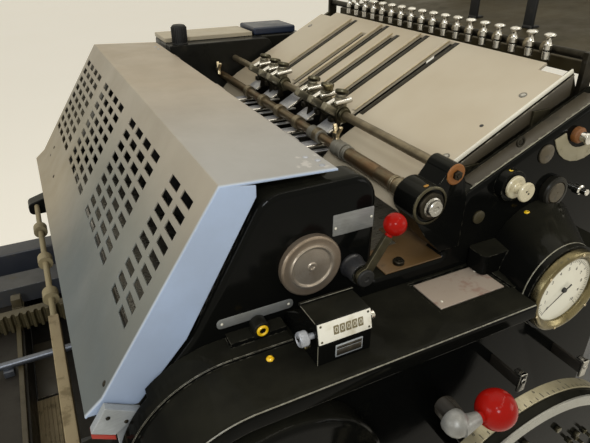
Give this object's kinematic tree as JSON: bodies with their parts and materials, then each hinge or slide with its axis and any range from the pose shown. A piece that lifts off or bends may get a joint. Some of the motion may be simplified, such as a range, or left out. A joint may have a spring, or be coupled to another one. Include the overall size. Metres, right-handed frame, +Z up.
{
  "type": "cylinder letterpress",
  "caption": "Cylinder printing press with a hinged sheet-metal guard, control shelf with levers, gauge and drum, sloping sheet table, runway and feeder.",
  "frame": {"origin": "on the floor, in the middle of the whole press", "axes": "+X along the press from the runway to the feeder, +Y from the operator's side to the drive side, +Z up"},
  "size_m": [2.59, 1.3368, 1.42],
  "materials": {
    "black_enamel": "glossy black enamel",
    "blue_grey_paint": "satin blue-grey paint",
    "dark_blue_paint": "satin dark blue paint",
    "brown_iron": "oiled brown cast iron",
    "steel": "turned and ground steel",
    "bright_chrome": "worn chrome",
    "rust_steel": "brown patinated steel",
    "aluminium_plate": "matt aluminium",
    "brass_ring": "turned brass",
    "cream_dial": "printed cream card",
    "white_plate": "white plate",
    "red_ball": "glossy red",
    "red_plastic": "red",
    "ivory_plastic": "glossy ivory",
    "sheet_metal": "satin beige-grey",
    "board_wood": "dark varnished board",
    "beige_paint": "satin beige paint",
    "cream_roller": "cream rollers on a steel shaft"
  },
  "bodies": {
    "press": {"base_wall_operator": "dark_blue_paint", "base_wall_drive": "dark_blue_paint", "base_cross_members": "brown_iron", "bed_rails": "steel", "bed_rack": "brown_iron", "type_bed": "steel", "side_frame_operator": "black_enamel", "side_frame_drive": "black_enamel", "bearing_cap": "steel", "impression_cylinder": "steel", "guard_hinge_rod": "rust_steel", "interlock_bracket": "aluminium_plate", "interlock_switch": "red_plastic", "wiper_strip": "sheet_metal", "delivery_rollers": "cream_roller", "control_case": "black_enamel", "spec_plate": "aluminium_plate", "gear_cover": "black_enamel", "gauge_hood": "black_enamel", "gauge_bezel": "brass_ring", "gauge_dial": "cream_dial", "control_drum": "black_enamel", "drum_bands": "steel", "counter_box": "black_enamel", "counter_face": "white_plate", "lay_plate": "sheet_metal", "lay_cheeks": "steel", "guide_rod_front": "rust_steel", "guide_rod_rear": "rust_steel", "rod_brackets": "black_enamel", "guide_clamps": "bright_chrome", "gripper_fingers": "bright_chrome", "knob_rail": "steel", "rail_knobs": "bright_chrome", "main_feed_board": "board_wood", "board_ledges": "black_enamel", "feeder_frame_operator": "black_enamel", "feeder_frame_drive": "black_enamel", "feeder_head": "blue_grey_paint", "pile_board": "board_wood", "drive_case": "black_enamel", "belt_guard": "blue_grey_paint", "motor": "blue_grey_paint", "drive_top_plate": "beige_paint", "drive_cap_knob": "black_enamel", "drive_housing": "blue_grey_paint"},
    "guard": {"cylinder_guard": "blue_grey_paint"},
    "control": {"control_lever": "steel", "control_ball": "red_ball"},
    "stop": {"stop_lever": "steel", "stop_lever_ball": "red_ball"},
    "reset_knob": {"counter_reset_knob": "bright_chrome"},
    "adjuster": {"adjusting_knob": "ivory_plastic"}
  },
  "joints": [
    {"name": "guard_hinge", "type": "hinge", "parent": "press", "child": "guard", "pos_m": [-0.123, 0.0431, 1.079], "axis": [0, 1, 0], "range_deg": [0, 60]},
    {"name": "control_pivot", "type": "hinge", "parent": "press", "child": "control", "pos_m": [0.071, -0.6064, 0.611], "axis": [0, 1, 0], "range_deg": [-24, 30]},
    {"name": "stop_pivot", "type": "hinge", "parent": "press", "child": "stop", "pos_m": [-0.097, -0.4443, 0.937], "axis": [0, 1, 0], "range_deg": [-20, 22]},
    {"name": "reset_spin", "type": "hinge", "parent": "press", "child": "reset_knob", "pos_m": [-0.217, -0.4949, 0.914], "axis": [1, 0, 0], "continuous": true},
    {"name": "adjuster_spin", "type": "hinge", "parent": "press", "child": "adjuster", "pos_m": [0.181, -0.4409, 1.007], "axis": [0, 1, 0], "range_deg": [-150, 150]}
  ]
}
